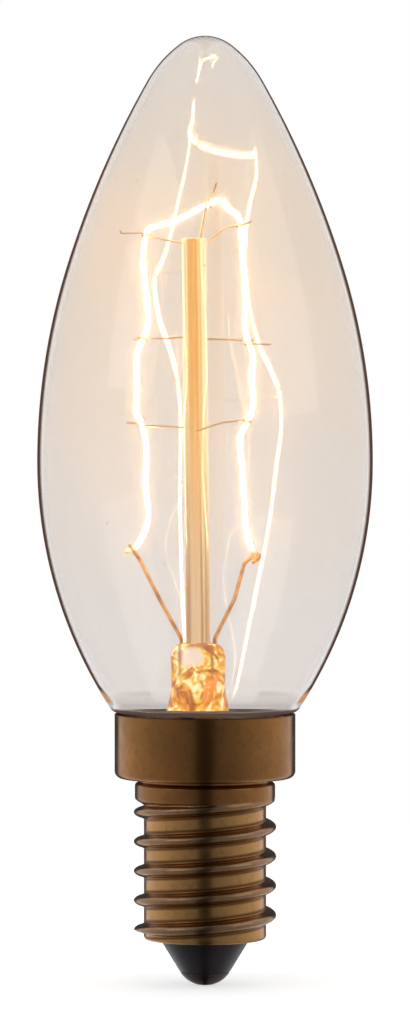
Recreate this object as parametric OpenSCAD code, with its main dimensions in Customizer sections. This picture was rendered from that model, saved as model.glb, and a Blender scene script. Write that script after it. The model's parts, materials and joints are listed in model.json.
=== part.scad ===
// Clear candle filament bulb with a small screw cap.
// Millimetres. Up is +Z, the centre contact stands on z = 0, the front is -Y.

/* [Glass envelope] */
// Height of the whole bulb
bulb_top = 90.8; // [88:0.1:96]
// Widest diameter of the glass
bulb_d = 32.1; // [30:0.1:36]
// Height of the widest place
belly_z = 50.1; // [48:0.1:52]
// Radius of the blown tip
tip_r = 4.08; // [3.8:0.02:4.4]
// Radius of the bend between the tip and the flank
shoulder_r = 11.35; // [10.6:0.05:12]
// Thickness of the blown glass
glass_wall = 0.7; // [0.5:0.05:0.85]
// Diameter of the glass neck down in the cap
neck_d = 15.2; // [14.9:0.05:15.5]
// How far the glass overhangs the rim of the cap
glass_over = 0.42; // [0.3:0.02:0.6]

/* [Cap] */
// Diameter of the skirt
skirt_d = 17.32; // [17:0.02:17.6]
// Height of the rim of the skirt
skirt_top = 26; // [25.6:0.05:26.6]
// Height of the floor under the skirt
skirt_floor = 19.85; // [19.7:0.05:20.2]
// Thickness of the rolled sheet
cap_wall = 0.3; // [0.24:0.01:0.34]
// Radius of the round foot of the skirt
skirt_round = 0.7; // [0.5:0.05:0.9]
// Diameter of the waist under the skirt
waist_d = 12.54; // [12.2:0.02:12.8]
// Diameter of the band over the thread
band_d = 13.44; // [13.2:0.02:13.6]
// Height of the top of the band
band_top = 19.45; // [19.3:0.05:19.6]

/* [Screw thread] */
// Crest diameter of the rolled thread
thread_d = 13.65; // [13.4:0.05:13.9]
// Root diameter of the rolled thread
thread_root_d = 11.7; // [11.6:0.05:12.2]
// Rise of one turn
thread_pitch = 2.822; // [2.7:0.002:2.9]
// Height of the lowest crest on the left
crest_z = 5.29; // [5.2:0.01:5.4]
// Half the height of one rolled ridge
crest_half = 0.62; // [0.5:0.01:0.7]
// Flat sides round the rolled thread
thread_sides = 32; // [24:4:36]

/* [Contact end] */
// Height of the lowest edge of the thread shell
shell_foot = 4.4; // [4.3:0.05:4.5]
// Diameter of the opening in the foot of the shell
lip_d = 8.7; // [8.3:0.05:9]
// Diameter of the round contact plate
plate_d = 4.88; // [4.6:0.02:5.2]
// Height of the solder dome under the plate
solder_h = 0.9; // [0.7:0.05:1]
// Thickness of the contact plate
plate_t = 0.39; // [0.3:0.01:0.5]
// Diameter of the wire hole in the insulator
wire_hole_d = 1.2; // [1:0.05:1.4]

/* [Stem] */
// Sideways place of the stem in the neck
stem_x = -0.66; // [-0.8:0.02:-0.5]
// Height of the seal between the neck and the flare
seal_z = 21.5; // [21.3:0.05:21.7]
// Thickness of the flare
flare_t = 0.8; // [0.7:0.05:0.9]
// Height of the top of the pinch
pinch_top = 32.9; // [32.4:0.1:33.4]
// Width of the pinch
pinch_w = 5.24; // [5.1:0.02:5.4]
// Thickness of the pinch
pinch_t = 2.6; // [2.4:0.05:2.8]
// Diameter of the glass rod
rod_d = 2.34; // [2.1:0.02:2.6]
// Lean of the rod to the left, degrees
rod_lean = 0.6; // [0:0.1:1]
// Free height between the rod and the top of the glass
tip_gap = 19.4; // [18.5:0.1:20.5]
// Outside diameter of the exhaust tube
tube_d = 2.4; // [2.1:0.05:2.5]
// Bore of the exhaust tube
tube_bore = 1.4; // [1.2:0.05:1.5]
// Height of the tipped end of the exhaust tube
tube_foot = 9.2; // [8.8:0.1:9.8]

/* [Wires] */
// Diameter of the inner leads and seal wires
lead_d = 0.38; // [0.32:0.01:0.42]
// Spacing of the two seal wires
lead_gap = 3.2; // [3.1:0.02:3.3]
// Diameter of the outer leads
outer_d = 0.3; // [0.24:0.01:0.32]
// Diameter of the thin support wires
hook_d = 0.18; // [0.16:0.01:0.2]
// Diameter of the wound filament
coil_d = 0.5; // [0.4:0.02:0.56]

/* [Filament cage] */
// Height of the left lead tip over the pinch
lead_rise = 8.8; // [8:0.1:9.6]
// Height of the peak hook over the rod
peak_rise = 3.45; // [3:0.05:3.9]
// Depth of the middle hooks under the rod top
middle_drop = 9.75; // [9:0.1:10.5]
// Depth of the lower hooks under the rod top
lower_drop = 17.55; // [16.5:0.1:18.5]

/* [Clearances] */
// Play of a wire or rod in its bore, on the radius
bore_play = 0.01; // [0.01:0.005:0.04]
// Play of the cement round the neck and in the skirt
cement_play = 0.02; // [0.01:0.005:0.05]
// Play of a hook round the filament
hook_play = 0.06; // [0.05:0.01:0.1]
// Play of the insulator in the shell
insulator_play = 0.06; // [0.03:0.01:0.1]
// Gap between the glass and the tail of the top left hook
tail_gap = 0.85; // [0.5:0.05:1.2]

/* [Hidden] */
belly_turn = 17.23;
flank_lean = 29.65;
tip_open = 53.13;
neck_roll = 1;
neck_angle = 75;
bulb_r = bulb_d / 2;
skirt_r = skirt_d / 2;
neck_r = neck_d / 2;
flare_r = neck_r - glass_wall - abs(stem_x);
root_r = thread_root_d / 2;
crest_r = thread_d / 2;
band_r = band_d / 2;
skirt_in = skirt_r - cap_wall;
floor_in = skirt_floor + cap_wall;
rod_tip = bulb_top - tip_gap;
rod_len = rod_tip - pinch_top;
plate_z = solder_h;
cone_z = solder_h + plate_t;
lip_top = shell_foot + cap_wall;
void_z = pinch_top - 4.2;
flare_z = seal_z + flare_r * 0.455;
arc_r = flare_z - seal_z;
cage = (bulb_d - 2 * glass_wall) / 30.7;
loop_r = coil_d / 2 + hook_d / 2 + hook_play;
clamp_r = coil_d / 2 + lead_d / 2 + 0.03;
solder_at = 258;
tail_at = 142.2;
tail_z = rod_tip + 0.8;
tube_tip = tube_foot + 1.8;

function along(a) = [cos(a), sin(a)];
function unit(v) = v / norm(v);
function square_off(v, t) = unit(v - (v * t) * t);
function smooth(x) = let (c = min(1, max(0, x))) c * c * (3 - 2 * c);

// The outline of the glass is a chain of arcs that share their tangents.
tip_c = [0, bulb_top - tip_r];
bend_c = tip_c + (tip_r - shoulder_r) * along(tip_open);
bend_p = bend_c + shoulder_r * along(flank_lean);
turn_x = bulb_r - bend_p.x;
turn_z = bend_p.y - belly_z;
k11 = 1 - cos(belly_turn);
k12 = cos(belly_turn) - cos(flank_lean);
k21 = sin(belly_turn);
k22 = sin(flank_lean) - sin(belly_turn);
det = k11 * k22 - k12 * k21;
belly_r = (turn_x * k22 - turn_z * k12) / det;
flank_r = (k11 * turn_z - k21 * turn_x) / det;
belly_c = [bulb_r - belly_r, belly_z];
flank_c = belly_c + (belly_r - flank_r) * along(belly_turn);
over_p = [skirt_r + glass_over, skirt_top + 0.57];
drop_x = bulb_r - over_p.x;
drop_z = belly_z - over_p.y;
lower_r = (drop_x * drop_x + drop_z * drop_z) / (2 * drop_x);
lower_a = asin(drop_z / lower_r);
lower_c = [bulb_r - lower_r, belly_z];
roll_c = over_p - neck_roll * along(-lower_a);
roll_p = roll_c + neck_roll * along(-neck_angle);
hollow_r = (roll_p.x - neck_r) / (1 - cos(neck_angle));
hollow_c = [neck_r + hollow_r, roll_p.y - hollow_r * sin(neck_angle)];
function flank_in(z) = flank_c.x + sqrt(pow(flank_r - glass_wall, 2) - pow(z - flank_c.y, 2));

module arc_band(c, r, a0, a1) {
    z0 = c.y + r * sin(a0);
    z1 = c.y + r * sin(a1);
    intersection() {
        translate(c) circle(r, $fn = 360);
        translate([0, z0]) square([60, z1 - z0]);
    }
}

module glass_outline(inset) {
    top_z = tip_c.y + (tip_r - inset) * sin(tip_open);
    intersection() {
        translate(tip_c) circle(tip_r - inset, $fn = 144);
        translate([0, top_z]) square([20, 20]);
    }
    arc_band(bend_c, shoulder_r - inset, flank_lean, tip_open);
    arc_band(flank_c, flank_r - inset, belly_turn, flank_lean);
    arc_band(belly_c, belly_r - inset, 0, belly_turn);
    arc_band(lower_c, lower_r - inset, -lower_a, 0);
    roll_end = roll_c.y - (neck_roll - inset) * sin(neck_angle);
    intersection() {
        translate(roll_c) circle(neck_roll - inset, $fn = 96);
        translate([0, roll_end]) square([20, 3]);
    }
    translate([0, roll_end]) square([roll_c.x, roll_c.y - roll_end]);
    difference() {
        translate([0, hollow_c.y]) square([hollow_c.x, roll_end - hollow_c.y]);
        translate(hollow_c) circle(hollow_r + inset, $fn = 144);
    }
    translate([0, seal_z]) square([neck_r - inset, hollow_c.y - seal_z]);
}

module glass_envelope() {
    color([0.9, 0.85, 0.82, 0.3])
    rotate_extrude($fn = 144)
    difference() {
        glass_outline(0);
        glass_outline(glass_wall);
    }
}

// The stem: a flare that opens to the neck and a pinch that holds the wires.
module flare_outside() {
    translate([0, seal_z - flare_t]) square([flare_r + 0.4, flare_t]);
    difference() {
        translate([0, seal_z]) square([flare_r, arc_r]);
        translate([flare_r, flare_z]) circle(arc_r, $fn = 144);
    }
    polygon([
        [0, flare_z], [flare_r - arc_r, flare_z],
        [pinch_w / 2, void_z + 0.6], [pinch_w / 2, pinch_top], [0, pinch_top]
    ]);
}

module flare_inside() {
    difference() {
        translate([0, seal_z - flare_t]) square([flare_r, arc_r + flare_t]);
        translate([flare_r, flare_z]) circle(arc_r + flare_t, $fn = 144);
    }
    polygon([
        [0, flare_z], [flare_r - arc_r - flare_t, flare_z],
        [1.85, void_z], [0, void_z]
    ]);
}

module jaw_mark() {
    translate([pinch_t / 2, pinch_top - 2]) square([3, 3]);
    translate([pinch_t / 2 + 2.2, pinch_top - 2]) circle(2.2, $fn = 96);
}

module corner_mark() {
    difference() {
        translate([pinch_w / 2 - 1.32, pinch_top - 1.15]) square([3, 2]);
        translate([pinch_w / 2 - 1.32, pinch_top - 1.15]) circle(1.2, $fn = 96);
    }
}

module stem_flare() {
    color([0.92, 0.88, 0.84, 0.4])
    difference() {
        union() {
            translate([stem_x, 0, 0]) rotate_extrude($fn = 144) flare_outside();
            translate([0, 0, seal_z - flare_t]) linear_extrude(flare_t)
            difference() {
                circle(neck_r, $fn = 144);
                translate([stem_x, 0]) circle(flare_r + 0.15, $fn = 144);
            }
        }
        translate([stem_x, 0, 0]) rotate_extrude($fn = 144) flare_inside();
        for (s = [0, 1])
            translate([stem_x, 0, 0]) mirror([0, s, 0]) rotate([90, 0, 90])
            linear_extrude(12, center = true) jaw_mark();
        for (s = [0, 1])
            translate([stem_x, 0, 0]) mirror([s, 0, 0]) rotate([90, 0, 0])
            linear_extrude(12, center = true) corner_mark();
        for (s = [-1, 1])
            translate([stem_x + s * lead_gap / 2, 0, void_z - 1])
            cylinder(h = 6, r = lead_d / 2 + bore_play, $fn = 32);
        translate([stem_x, 0, pinch_top]) rotate([0, -rod_lean, 0])
        translate([0, 0, -1.2]) cylinder(h = 3, r = rod_d / 2 + bore_play, $fn = 96);
        translate([stem_x, 0, void_z - 1]) cylinder(h = 2.4, r = 0.45, $fn = 48);
        translate([stem_x, 0, void_z + 1.4]) rotate([70, 0, 0])
        cylinder(h = 6, r = 0.45, $fn = 48);
    }
}

module exhaust_tube() {
    color([0.93, 0.9, 0.86, 0.5])
    translate([stem_x, 0, 0])
    rotate_extrude($fn = 96)
    difference() {
        union() {
            translate([0, tube_tip]) square([tube_d / 2, void_z - tube_tip]);
            intersection() {
                translate([0, tube_tip]) circle(tube_d / 2, $fn = 96);
                translate([0, tube_tip - tube_d]) square([tube_d, tube_d]);
            }
            translate([0, tube_foot]) polygon([[0, 0], [0.32, 0.15], [0.5, 0.8], [0, 0.8]]);
        }
        translate([0, tube_tip]) square([tube_bore / 2, void_z]);
        intersection() {
            translate([0, tube_tip]) circle(tube_bore / 2, $fn = 96);
            translate([0, tube_tip - tube_d]) square([tube_d, tube_d]);
        }
    }
}

function rod_axis(h) = [-(rod_len + h) * tan(rod_lean), 0, rod_len + h];
function rod_side(a, h, r) = rod_axis(h) + r * [cos(a), sin(a), 0];

hooks_left = [[134, -0.45], [170, -middle_drop + 0.35], [122, -lower_drop - 0.45]];
hooks_right = [[0, -0.35], [40, -middle_drop + 0.2], [-85, -lower_drop - 0.8]];
peak_root = rod_axis(0) + [0.64, 0.35, 0];

module arbor_rod() {
    color([0.94, 0.86, 0.78, 0.6])
    translate([stem_x, 0, pinch_top])
    difference() {
        union() {
            rotate([0, -rod_lean, 0]) rotate_extrude($fn = 96) {
                translate([0, -1.2]) square([rod_d / 2, rod_len + 1.2 - 0.35]);
                translate([0, rod_len - 1]) square([rod_d / 2 - 0.35, 1]);
                intersection() {
                    translate([rod_d / 2 - 0.35, rod_len - 0.35]) circle(0.35, $fn = 48);
                    translate([0, rod_len - 0.35]) square([3, 1]);
                }
            }
            translate(rod_side(0, -0.35, 0.85)) sphere(0.42, $fn = 48);
        }
        for (w = concat(hooks_left, hooks_right))
            translate(rod_side(w[0], w[1], w == hooks_right[0] ? 0.75 : rod_d / 2 - 0.65))
            rotate([0, 90, w[0]]) cylinder(h = 2, r = hook_d / 2 + bore_play, $fn = 24);
        translate(peak_root - [0, 0, 0.7])
        cylinder(h = 2, r = hook_d / 2 + bore_play, $fn = 24);
    }
}

// Wires are swept tubes. The filament runs through its stations, the places
// where a lead or a hook holds it, and each span between them has its bends.
function turn_dir(p, i) =
    i == 0 ? unit(p[1] - p[0]) :
    i == len(p) - 1 ? unit(p[i] - p[i - 1]) :
    unit(unit(p[i] - p[i - 1]) + unit(p[i + 1] - p[i]));

module tube(path, r, sides) {
    last = len(path) - 1;
    t = [for (i = [0 : last]) turn_dir(path, i)];
    start = square_off(abs(t[0].z) < 0.8 ? [0, 0, 1] : [1, 0, 0], t[0]);
    n = [for (i = 0, v = start; i <= last; i = i + 1, v = square_off(v, t[min(i, last)])) v];
    rim = [for (i = [0 : last]) for (s = [0 : sides - 1])
        path[i] + r * (cos(360 * s / sides) * n[i] + sin(360 * s / sides) * cross(t[i], n[i]))];
    foot = [[for (s = [0 : sides - 1]) s]];
    head = [[for (s = [sides - 1 : -1 : 0]) last * sides + s]];
    walls = [for (i = [0 : last - 1]) for (s = [0 : sides - 1])
        let (a = i * sides + s, b = i * sides + (s + 1) % sides)
        for (f = [[a, b + sides, b], [a, a + sides, b + sides]]) f];
    polyhedron(points = rim, faces = concat(foot, walls, head), convexity = 6);
}

function run(a, b, bends) = concat([a], [for (s = bends) a + (b - a) * s[0] + s[1]]);
function spot(x, y, z) = [x * cage, y * cage, z];

lead_left = spot(-6.3, 2.2, lead_rise);
lower_left = spot(-5.6, 4.6, rod_len - lower_drop + 0.05);
middle_left = spot(-5.35, 0.5, rod_len - middle_drop + 0.05);
top_left = spot(-5.1, 5.2, rod_len + 0.5);
corner_left = spot(-4.93, 5.3, rod_len + 1.1);
peak = spot(1.15, 2.3, rod_len + peak_rise);
past_peak = spot(1.85, 2, rod_len + peak_rise + 0.25);
corner_right = spot(3.95, -2.4, rod_len + 1.6);
top_right = spot(4.05, -2.4, rod_len + 1.1);
middle_right = spot(4.9, 3.4, rod_len - middle_drop - 0.1);
lower_right = spot(4.6, -2.3, rod_len - lower_drop - 0.05);
lead_right = spot(5.5, 2, lead_rise - 0.75);

knots = concat(
    [lead_left + [-0.75, -0.05, -0.35]],
    run(lead_left, lower_left,
        [[0.13, [1, -0.5, 0]], [0.55, [0.8, 0.1, 0]], [0.92, [0.4, 0.6, -0.1]]]),
    run(lower_left, middle_left,
        [[0.17, [-0.4, -0.7, -0.4]], [0.42, [-0.4, -2.2, -1.1]],
         [0.66, [-0.4, -2.6, -1.4]], [0.94, [-0.4, -1.1, -0.6]]]),
    run(middle_left, top_left,
        [[0.12, [0.4, 0, 0]], [0.48, [0.15, 0, 0]], [0.88, [-0.2, 0.3, -0.1]]]),
    [top_left],
    run(corner_left, peak, [[0.14, [0.1, 0.3, 0]], [0.4, [0, -0.3, -0.3]]]),
    [peak],
    run(past_peak, corner_right, [[0.54, [-0.1, -0.1, 0.2]]]),
    [corner_right],
    run(top_right, middle_right,
        [[0.08, [0, -0.5, -0.2]], [0.27, [0, -1.4, -0.7]],
         [0.6, [0, -0.7, -0.35]], [0.94, [-0.2, -0.1, 0]]]),
    run(middle_right, lower_right,
        [[0.08, [0.33, 0.3, -0.3]], [0.35, [0.35, 0.8, -0.6]], [0.9, [0.36, 0, 0]]]),
    run(lower_right, lead_right,
        [[0.06, [-0.5, -0.25, -0.1]], [0.3, [-0.65, -1.9, -0.7]],
         [0.53, [-0.7, -1.4, -0.5]], [0.83, [-0.6, -0.3, -0.1]]]),
    [lead_right, lead_right + [0.26, 0.25, -0.5]]
);

function reach(i) = norm(knots[i + 1] - knots[i]);
function heading(i) =
    i == 0 ? unit(knots[1] - knots[0]) :
    i == len(knots) - 1 ? unit(knots[i] - knots[i - 1]) :
    unit((knots[i] - knots[i - 1]) / pow(reach(i - 1), 2)
        + (knots[i + 1] - knots[i]) / pow(reach(i), 2));
function ease(i, s) =
    let (d = reach(i), c = s * s * (3 - 2 * s))
    knots[i] * (1 - c) + knots[i + 1] * c
        + heading(i) * d * s * (1 - s) * (1 - s)
        - heading(i + 1) * d * s * s * (1 - s);
function pieces(i) = max(2, ceil(reach(i) / 1.5));
coil_path = concat(
    [for (i = [0 : len(knots) - 2]) for (j = [0 : pieces(i) - 1]) ease(i, j / pieces(i))],
    [knots[len(knots) - 1]]
);
function station(p) = [for (i = [0 : len(knots) - 1]) if (knots[i] == p) i][0];

module filament() {
    color([1, 0.75, 0.35])
    translate([stem_x, 0, pinch_top]) tube(coil_path, coil_d / 2, 8);
}

// A hook comes from the rod, makes one turn round the filament and ends in a tail.
function eye(p, from) =
    let (t = heading(station(p)), e = square_off(p - from, t), f = cross(t, e))
    [for (s = [0 : 10]) p + loop_r * (cos(90 - 36 * s) * e + sin(90 - 36 * s) * f)
        + t * (hook_d * 1.4 * (s / 10 - 0.5))];

module hook(start, via, p, tail) {
    color([0.75, 0.45, 0.25])
    translate([stem_x, 0, pinch_top])
    tube(concat(start, via, eye(p, concat(start, via)[len(start) + len(via) - 1]), tail),
        hook_d / 2, 6);
}

function rooted(w) = [rod_side(w[0], w[1], rod_d / 2 - 0.6), rod_side(w[0], w[1], rod_d / 2 + 0.15)];

module top_support_left() {
    far_r = flank_in(tail_z) - tail_gap;
    far = [far_r * cos(tail_at) - stem_x, far_r * sin(tail_at), tail_z - pinch_top];
    hook(rooted(hooks_left[0]), [], top_left, [far, far + [-0.12, 0.1, 0.3]]);
}

module top_support_peak() {
    hook([peak_root - [0, 0, 0.6], peak_root + [0, 0, 0.15]],
        [peak_root + [0.1, 0.35, 1]], peak,
        [spot(1.5, 2.36, rod_len + 4.6), spot(1.77, 2.4, rod_len + 5.4)]);
}

module top_support_right() {
    hook([rod_side(0, -0.35, 0.8), rod_side(0, -0.35, 1.42)],
        [spot(2.2, -1.1, rod_len + 0.6), spot(2.98, -1.6, rod_len + 1)], top_right,
        [spot(5.06, -3, rod_len + 1.5)]);
}

module middle_support_left() {
    hook(rooted(hooks_left[1]), [spot(-2.6, 0.45, rod_len - middle_drop + 0.25)], middle_left,
        [spot(-6.2, 0.6, rod_len - middle_drop + 0.1)]);
}

module middle_support_right() {
    hook(rooted(hooks_right[1]), [spot(3.14, 2.5, rod_len - middle_drop + 0.15)], middle_right,
        [spot(7.04, 4.6, rod_len - middle_drop - 0.25)]);
}

module lower_support_left() {
    hook(rooted(hooks_left[2]), [], lower_left, [spot(-6.97, 6, rod_len - lower_drop)]);
}

module lower_support_right() {
    hook(rooted(hooks_right[2]),
        [spot(1.04, -1.75, rod_len - lower_drop - 0.4), spot(2.36, -2.05, rod_len - lower_drop)],
        lower_right, [spot(5.16, -2.8, rod_len - lower_drop + 0.25)]);
}

// An inner lead passes behind the filament and folds over it to the front.
function fold(p, from) =
    let (t = heading(station(p)), e = square_off(p - from, t), f0 = cross(t, e),
        f = f0.y > 0 ? f0 : -f0)
    concat([p + clamp_r * f - e * 1.1],
        [for (s = [0 : 8]) p + clamp_r * (cos(22.5 * s) * f + sin(22.5 * s) * e)],
        [p - clamp_r * f - e * 0.8]);

module inner_lead(x, bends, p) {
    color([0.7, 0.42, 0.24])
    translate([stem_x, 0, pinch_top])
    tube(concat([[x, 0, -0.6], [x, 0, 0.2]], bends, fold(p, bends[len(bends) - 1])),
        lead_d / 2, 8);
}

module inner_lead_left() {
    inner_lead(-lead_gap / 2, [[-1.72, 0.1, 0.55], [-2, 0.3, 1.05], [-3.69, 1.15, 4.05]], lead_left);
}

module inner_lead_right() {
    inner_lead(lead_gap / 2, [[1.66, 0.08, 0.5], [1.88, 0.22, 0.95], [3.47, 1, 4.05]], lead_right);
}

module seal_wire(x) {
    color([0.6, 0.25, 0.15])
    translate([stem_x + x, 0, void_z - 0.3])
    cylinder(h = pinch_top - void_z - 0.3, r = lead_d / 2, $fn = 32);
}

module seal_wire_left() {
    seal_wire(-lead_gap / 2);
}

module seal_wire_right() {
    seal_wire(lead_gap / 2);
}

module outer_lead_contact() {
    x = stem_x + lead_gap / 2;
    color([0.72, 0.5, 0.32])
    tube([[x, 0, void_z - 0.3], [x, 0, tube_foot + 2.8], [x * 0.7, 0, tube_foot + 0.4],
        [0, 0, tube_foot - 1.6], [0, 0, solder_h * 0.55]],
        outer_d / 2, 8);
}

module outer_lead_shell() {
    x = stem_x - lead_gap / 2;
    lead_z = floor_in + 0.26;
    out = [cos(solder_at), sin(solder_at), 0];
    up_r = (neck_r + skirt_in) / 2;
    color([0.72, 0.5, 0.32])
    tube([[x, 0, void_z - 0.3], [x, 0, seal_z + 3.1], [x + 0.3, -1.2, seal_z + 0.9],
        out * neck_r / 2 + [0, 0, lead_z + 0.35], out * (neck_r - 1.8) + [0, 0, lead_z], out * (up_r - 0.3) + [0, 0, lead_z],
        out * up_r + [0, 0, lead_z + 0.3], out * up_r + [0, 0, skirt_top - 0.45]],
        outer_d / 2, 8);
}

// The cap: one rolled sheet with the skirt, the waist, the band and the thread.
thread_lo = lip_top + 0.1;
thread_hi = band_top - 1.15;
band_foot = band_top - 1.5;
seam = 0.04;
crest_0 = crest_z - thread_pitch / 2;
ridge_rows = [for (u = [-1, -0.8, -0.46, 0, 0.46, 0.8, 1]) u * crest_half];
root_gap = thread_pitch - 2 * crest_half;
rows = concat(ridge_rows, [for (k = [1 : 4]) crest_half + root_gap * k / 5]);
turn_rows = len(rows);
first_turn = floor((thread_lo - crest_0 - rows[0]) / thread_pitch) - 1;
last_turn = ceil((thread_hi - crest_0) / thread_pitch) + 1;
row_count = turn_rows * (last_turn - first_turn + 1);

function ridge(u, half) = pow(max(0, 1 - pow(u / half, 2)), 0.75);
function fade(z) =
    smooth((z - thread_lo - 0.2) / 0.4) * (1 - smooth((z - band_foot + 0.25) / 0.45));
function blend(z) = smooth((z - band_foot + 0.75) / 0.72);
function row_z(m, k) =
    crest_0 + rows[m % turn_rows] + thread_pitch * (first_turn + floor(m / turn_rows) + k / thread_sides);
function outside(z, u) =
    root_r + max((crest_r - root_r) * fade(z) * ridge(u, crest_half),
        (band_r - seam - root_r) * blend(z));
function inside(z, u) =
    root_r - cap_wall + max((crest_r - root_r) * fade(z) * ridge(u, crest_half - 0.18),
        (band_r + seam - root_r) * blend(z));
function row_of(m, k) =
    let (m2 = m + turn_rows * floor(k / thread_sides), z = row_z(m2, k % thread_sides))
    z <= thread_lo ? 0 : z >= thread_hi ? row_count - 1 : m2;
function id(m, k) = row_of(m, k) * thread_sides + k % thread_sides;

module rolled_thread() {
    size = row_count * thread_sides;
    skin = [for (side = [0, 1]) for (m = [0 : row_count - 1]) for (k = [0 : thread_sides - 1])
        let (z = min(thread_hi, max(thread_lo, row_z(m, k))), u = rows[m % turn_rows],
            v = u > thread_pitch / 2 ? u - thread_pitch : u,
            r = side == 0 ? outside(z, v) : inside(z, v), a = 360 * k / thread_sides)
        [r * cos(a), r * sin(a), z]];
    walls = [for (m = [0 : row_count - turn_rows - 2]) for (k = [0 : thread_sides - 1])
        let (a = id(m, k), b = id(m, k + 1), c = id(m + 1, k + 1), d = id(m + 1, k))
        for (f = [[a, c, b], [a, d, c]])
        if (f[0] != f[1] && f[1] != f[2] && f[2] != f[0])
        for (side = [0, 1])
        side == 0 ? f : [f[0] + size, f[2] + size, f[1] + size]];
    ends = [for (k = [0 : thread_sides - 1])
        let (j = (k + 1) % thread_sides, t = (row_count - 1) * thread_sides)
        for (f = [[k, j, j + size], [k, j + size, k + size],
            [t + k, t + j + size, t + j], [t + k, t + k + size, t + j + size]]) f];
    polyhedron(points = skin, faces = concat(walls, ends), convexity = 10);
}

module skirt_section() {
    foot_z = skirt_floor + skirt_round;
    translate([skirt_in, foot_z]) square([cap_wall, skirt_top - foot_z]);
    intersection() {
        difference() {
            translate([skirt_r - skirt_round, foot_z]) circle(skirt_round, $fn = 96);
            translate([skirt_r - skirt_round, foot_z]) circle(skirt_round - cap_wall, $fn = 96);
        }
        translate([skirt_r - skirt_round, skirt_floor]) square([2, skirt_round]);
    }
    waist_in = waist_d / 2 - cap_wall;
    translate([waist_in, skirt_floor]) square([skirt_r - skirt_round - waist_in, cap_wall]);
    translate([waist_in, band_top - cap_wall]) square([cap_wall, skirt_floor - band_top + 2 * cap_wall]);
    edge = 0.36;
    translate([waist_in, band_top - cap_wall]) square([band_r - edge - waist_in, cap_wall]);
    intersection() {
        difference() {
            translate([band_r - edge, band_top - edge]) circle(edge, $fn = 64);
            translate([band_r - edge, band_top - edge]) circle(edge - cap_wall, $fn = 64);
        }
        translate([band_r - edge, band_top - edge]) square([2, 2]);
    }
    translate([band_r - cap_wall, band_foot]) square([cap_wall, band_top - edge - band_foot]);
}

module lip_section() {
    edge = cap_wall + 0.04;
    out = root_r + seam;
    translate([lip_d / 2, shell_foot]) square([out - edge - lip_d / 2, cap_wall]);
    intersection() {
        translate([out - edge, shell_foot + edge]) circle(edge, $fn = 64);
        translate([out - edge, shell_foot]) square([2, edge]);
    }
    translate([root_r - cap_wall - seam, shell_foot + edge])
    square([cap_wall + 2 * seam, 0.2]);
}

module screw_shell() {
    color([0.62, 0.47, 0.3])
    union() {
        rotate_extrude($fn = 144) skirt_section();
        rotate_extrude($fn = 144) lip_section();
        rolled_thread();
    }
}

module basing_cement() {
    land_z = seal_z - flare_t;
    ring_in = neck_r + cement_play;
    ring_out = skirt_in - cement_play;
    color([0.8, 0.74, 0.64])
    difference() {
        rotate_extrude($fn = 144) {
            translate([ring_in, land_z]) square([ring_out - ring_in, hollow_c.y - 0.1 - land_z]);
            translate([6.4, floor_in]) square([ring_out - 6.4 - skirt_round, land_z - floor_in]);
            translate([ring_in, floor_in + skirt_round]) square([ring_out - ring_in, 1]);
        }
        rotate([0, 0, solder_at]) translate([5, -outer_d / 2 - 0.02, floor_in - 1])
        cube([5, outer_d + 0.04, 9]);
    }
}

module insulator() {
    cone_r = lip_d / 2 - insulator_play;
    wide_r = root_r - cap_wall - seam - insulator_play;
    hole_r = wire_hole_d / 2;
    color([0.1, 0.09, 0.1])
    rotate_extrude($fn = 96)
    polygon([
        [hole_r, cone_z], [plate_d / 2, cone_z], [cone_r, shell_foot - 0.05], [cone_r, lip_top],
        [wide_r, lip_top], [wide_r, lip_top + 1.6], [wide_r - 1.2, lip_top + 1.6],
        [wide_r - 2.2, lip_top + 0.5], [hole_r, lip_top + 0.5]
    ]);
}

module contact_plate() {
    color([0.65, 0.5, 0.3])
    translate([0, 0, plate_z])
    difference() {
        cylinder(h = plate_t, r = plate_d / 2, $fn = 96);
        translate([0, 0, -1]) cylinder(h = 3, r = outer_d / 2 + bore_play, $fn = 32);
    }
}

module contact_solder() {
    dome_r = plate_d / 2 - 0.22;
    color([0.6, 0.58, 0.56])
    difference() {
        rotate_extrude($fn = 96)
        polygon([
            [0, 0], [0.85, 0], [1.05, 0.12 * solder_h], [dome_r - 0.5, 0.56 * solder_h],
            [dome_r - 0.12, 0.85 * solder_h], [dome_r, solder_h], [0, solder_h]
        ]);
        translate([0, 0, 0.5]) cylinder(h = 3, r = outer_d / 2 + bore_play, $fn = 32);
    }
}

module shell_solder() {
    edge_in = (neck_r + skirt_in) / 2 + outer_d / 2 + 0.02;
    color([0.75, 0.73, 0.7])
    rotate([0, 0, solder_at - 4.5])
    rotate_extrude(angle = 9, $fn = 144)
    polygon([
        [edge_in, skirt_top - 0.6], [skirt_in, skirt_top - 0.6], [skirt_in, skirt_top],
        [skirt_r, skirt_top], [skirt_r - 0.04, skirt_top + 0.09], [skirt_r - 0.21, skirt_top + 0.09],
        [skirt_in - 0.05, skirt_top + 0.05], [edge_in, skirt_top - 0.15]
    ]);
}

glass_envelope();
stem_flare();
exhaust_tube();
arbor_rod();
top_support_left();
top_support_peak();
top_support_right();
middle_support_left();
middle_support_right();
lower_support_left();
lower_support_right();
filament();
inner_lead_left();
inner_lead_right();
seal_wire_left();
seal_wire_right();
outer_lead_shell();
outer_lead_contact();
screw_shell();
basing_cement();
insulator();
contact_plate();
contact_solder();
shell_solder();
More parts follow.
